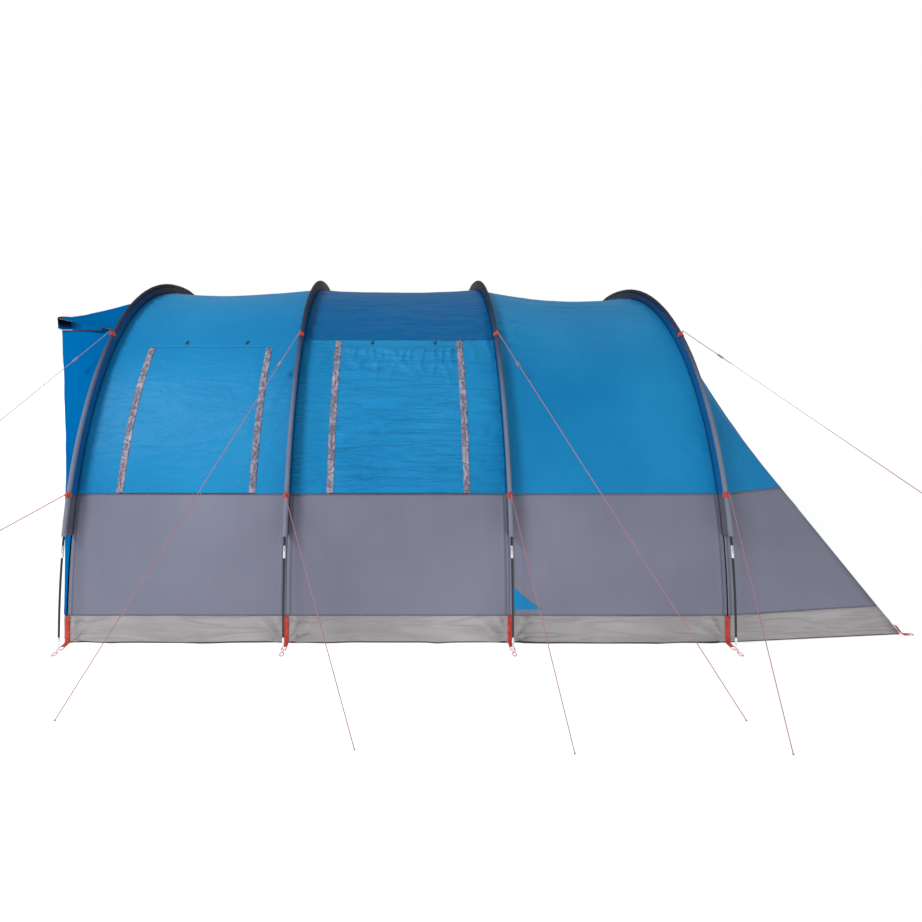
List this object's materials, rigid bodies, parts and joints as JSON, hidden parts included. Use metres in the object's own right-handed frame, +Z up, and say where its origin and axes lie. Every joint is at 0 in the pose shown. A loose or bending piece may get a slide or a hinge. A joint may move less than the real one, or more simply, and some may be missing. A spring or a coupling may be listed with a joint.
{
  "type": "tent on poles",
  "caption": "Tunnel tent of blue and grey cloth on curved pole hoops, with a front awning, a door flap that lifts, window covers, a sloping back and taut guylines.",
  "frame": {"origin": "centre of the tent's ground outline, guylines left out, on the ground", "axes": "+X to the sloping back, -X to the awning and door, +Z up; -Y is the side with the guylines"},
  "size_m": [6.409, 4.0483, 2.02],
  "materials": {
    "groundsheet": "coated woven sheet, satin",
    "pole_black": "fibreglass, semi-gloss",
    "bright_metal": "satin",
    "webbing_red": "woven webbing",
    "sleeve_dark": "woven, matt",
    "canopy_blue": "coated polyester, satin",
    "wall_grey": "coated polyester, satin",
    "skirt_pale": "coated woven sheet, satin",
    "clear_pane": "flexible clear film, glossy",
    "strip_silver": "coated polyester, creased",
    "toggle_black": "moulded, matt",
    "guyline_red": "braided cord, flecked",
    "runner_grey": "moulded, matt"
  },
  "bodies": {
    "tent": {"groundsheet": "groundsheet", "hoop_1_rods": "pole_black", "hoop_2_rods": "pole_black", "hoop_3_rods": "pole_black", "hoop_4_rods": "pole_black", "pole_ferrules": "bright_metal", "pole_end_pins": "bright_metal", "foot_straps": "webbing_red", "rear_peg_loops": "webbing_red", "sleeve_1": "sleeve_dark", "sleeve_2": "sleeve_dark", "sleeve_3": "sleeve_dark", "sleeve_4": "sleeve_dark", "awning_rods": "pole_black", "awning_sleeve": "sleeve_dark", "awning_roof": "canopy_blue", "canopy_front_bay": "canopy_blue", "canopy_middle_bay": "canopy_blue", "canopy_rear_bay": "canopy_blue", "wall_front_right": "wall_grey", "wall_front_left": "wall_grey", "wall_middle_right": "wall_grey", "wall_middle_left": "wall_grey", "wall_rear_right": "wall_grey", "wall_rear_left": "wall_grey", "skirt_right": "skirt_pale", "skirt_left": "skirt_pale", "front_panel_right": "canopy_blue", "front_panel_left": "canopy_blue", "door_header": "canopy_blue", "front_skirt": "skirt_pale", "rear_canopy": "canopy_blue", "rear_wall": "wall_grey", "rear_skirt": "skirt_pale", "window_panes": "clear_pane", "cover_front_right": "canopy_blue", "strips_front_right": "strip_silver", "toggles": "toggle_black", "corner_patch": "canopy_blue", "guy_tabs": "webbing_red", "guy_1_lower": "guyline_red", "guy_1_upper": "guyline_red", "guy_2_lower": "guyline_red", "guy_2_upper": "guyline_red", "guy_3_lower": "guyline_red", "guy_3_upper": "guyline_red", "guy_4_lower": "guyline_red", "guy_4_upper": "guyline_red"},
    "door": {"door_flap": "canopy_blue"},
    "front_left_cover": {"cover_front_left": "canopy_blue", "strips_front_left": "strip_silver"},
    "middle_right_cover": {"cover_middle_right": "canopy_blue", "strips_middle_right": "strip_silver"},
    "middle_left_cover": {"cover_middle_left": "canopy_blue", "strips_middle_left": "strip_silver"},
    "line_runner_1": {"runner_1": "runner_grey"},
    "line_runner_2": {"runner_2": "runner_grey"},
    "line_runner_3": {"runner_3": "runner_grey"},
    "line_runner_4": {"runner_4": "runner_grey"}
  },
  "joints": [
    {"name": "door_lift", "type": "hinge", "parent": "tent", "child": "door", "pos_m": [-2.494, 0, 1.4925], "axis": [0, 1, 0], "range_deg": [0, 85]},
    {"name": "front_left_cover_lift", "type": "hinge", "parent": "tent", "child": "front_left_cover", "pos_m": [-1.2715, 1.0188, 1.516], "axis": [1, 0, 0], "range_deg": [0, 60]},
    {"name": "middle_right_cover_lift", "type": "hinge", "parent": "tent", "child": "middle_right_cover", "pos_m": [-0.15, -1.0238, 1.516], "axis": [-1, 0, 0], "range_deg": [0, 60]},
    {"name": "middle_left_cover_lift", "type": "hinge", "parent": "tent", "child": "middle_left_cover", "pos_m": [-0.15, 1.0238, 1.516], "axis": [1, 0, 0], "range_deg": [0, 60]},
    {"name": "runner_1_slide", "type": "slide", "parent": "tent", "child": "line_runner_1", "axis": [-0.5491, -0.5087, -0.6631], "range_m": [-0.18, 0.6]},
    {"name": "runner_2_slide", "type": "slide", "parent": "tent", "child": "line_runner_2", "axis": [-0.3841, -0.5185, -0.764], "range_m": [-0.18, 0.6]},
    {"name": "runner_3_slide", "type": "slide", "parent": "tent", "child": "line_runner_3", "axis": [0.3949, -0.5159, -0.7602], "range_m": [-0.18, 0.6]},
    {"name": "runner_4_slide", "type": "slide", "parent": "tent", "child": "line_runner_4", "axis": [0.6247, -0.5018, -0.5983], "range_m": [-0.18, 0.6]}
  ]
}
